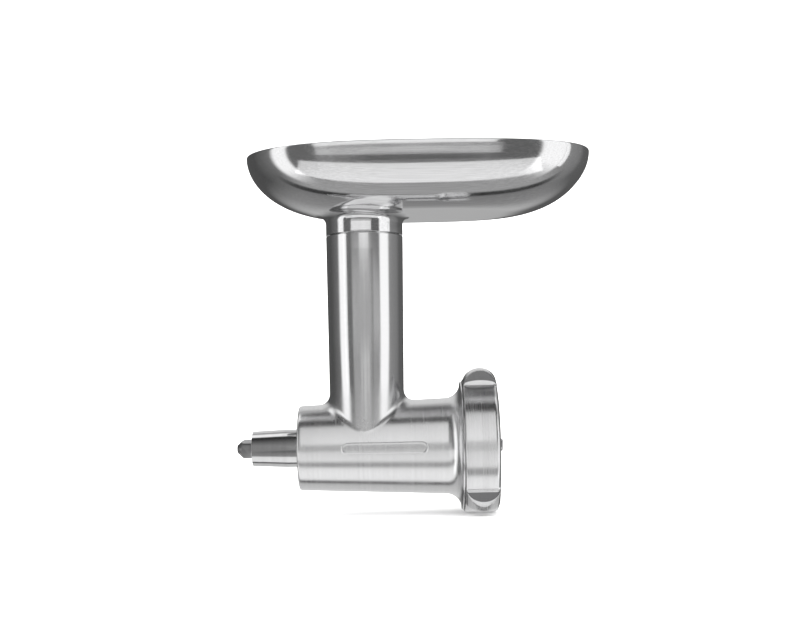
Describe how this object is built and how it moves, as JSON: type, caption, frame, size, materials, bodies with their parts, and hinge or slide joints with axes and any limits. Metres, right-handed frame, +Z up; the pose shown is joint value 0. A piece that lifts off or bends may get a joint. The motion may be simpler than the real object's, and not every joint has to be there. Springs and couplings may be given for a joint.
{
  "type": "food grinder attachment",
  "caption": "All-metal food grinder attachment for a stand mixer's power hub: oval feed tray on a feed tube, worm barrel, ring nut with grip lugs, and a spigot with a square drive.",
  "frame": {"origin": "on the grinder's axis, where the hub spigot meets the rear face of the housing", "axes": "+X along the grinder's axis from the spigot to the outlet, +Z up the feed tube to the tray, +Y to the side with the index pin"},
  "size_m": [0.2485, 0.136, 0.2487],
  "materials": {
    "cast_body": "satin cast and brushed",
    "spigot_steel": "bright turned",
    "bearing_bronze": "turned",
    "seal_rubber": "matt",
    "pin_steel": "ground",
    "shaft_steel": "dark ground",
    "worm_cast": "satin cast",
    "washer_plastic": "plain",
    "blade_steel": "ground",
    "ring_metal": "brushed round",
    "tray_steel": "polished"
  },
  "bodies": {
    "housing": {"grinder_housing": "cast_body", "hub_spigot": "spigot_steel", "spigot_rear_bush": "bearing_bronze", "spigot_front_bush": "bearing_bronze", "shaft_seal": "seal_rubber", "spigot_lock_screw": "pin_steel", "index_pin": "pin_steel", "plate_key_pin": "pin_steel"},
    "worm": {"worm_screw": "worm_cast", "worm_shaft": "shaft_steel", "worm_cross_pin": "pin_steel", "thrust_washer": "washer_plastic", "knife_stud": "shaft_steel", "cross_knife": "blade_steel"},
    "plate": {"grinding_plate": "blade_steel"},
    "ring": {"ring_nut": "ring_metal"},
    "tray": {"tray_pan": "tray_steel", "tray_sleeve": "tray_steel"}
  },
  "joints": [
    {"name": "worm_spin", "type": "hinge", "parent": "housing", "child": "worm", "pos_m": [0, 0, 0], "axis": [1, 0, 0], "continuous": true},
    {"name": "plate_slide", "type": "slide", "parent": "housing", "child": "plate", "axis": [1, 0, 0], "range_m": [0, 0.0151]},
    {"name": "ring_turn", "type": "hinge", "parent": "plate", "child": "ring", "pos_m": [0, 0, 0], "axis": [1, 0, 0], "range_deg": [0, 1350]},
    {"name": "tray_lift", "type": "slide", "parent": "housing", "child": "tray", "axis": [0, 0, 1], "range_m": [0, 0.05]}
  ],
  "couplings": [
    {"joint": "plate_slide", "follows": "ring_turn", "m_per_rad": 0.00063662}
  ]
}
